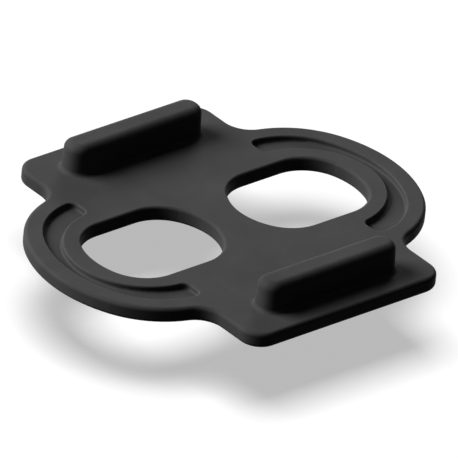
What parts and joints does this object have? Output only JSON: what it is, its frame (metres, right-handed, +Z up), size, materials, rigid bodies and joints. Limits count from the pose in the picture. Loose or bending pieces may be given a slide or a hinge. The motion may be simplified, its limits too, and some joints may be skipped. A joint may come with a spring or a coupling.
{
  "type": "clipless pedal cleat shim",
  "caption": "Thin moulded plate that lies between a two-bolt shoe cleat and the sole, with open bolt windows, shallow arc grooves and raised locating bars.",
  "frame": {"origin": "on the flat underside that lies on the sole, midway between the ends of the lobes and of the wings", "axes": "+X along the bars, from one bolt window to the other; +Y from the front wing to the back wing; +Z up, away from the sole"},
  "size_m": [0.0418, 0.0372, 0.0047],
  "materials": {
    "moulded_black": "black glass-filled nylon, moulded with a fine even texture"
  },
  "bodies": {
    "root": {"cleat_shim": "moulded_black"}
  },
  "joints": []
}
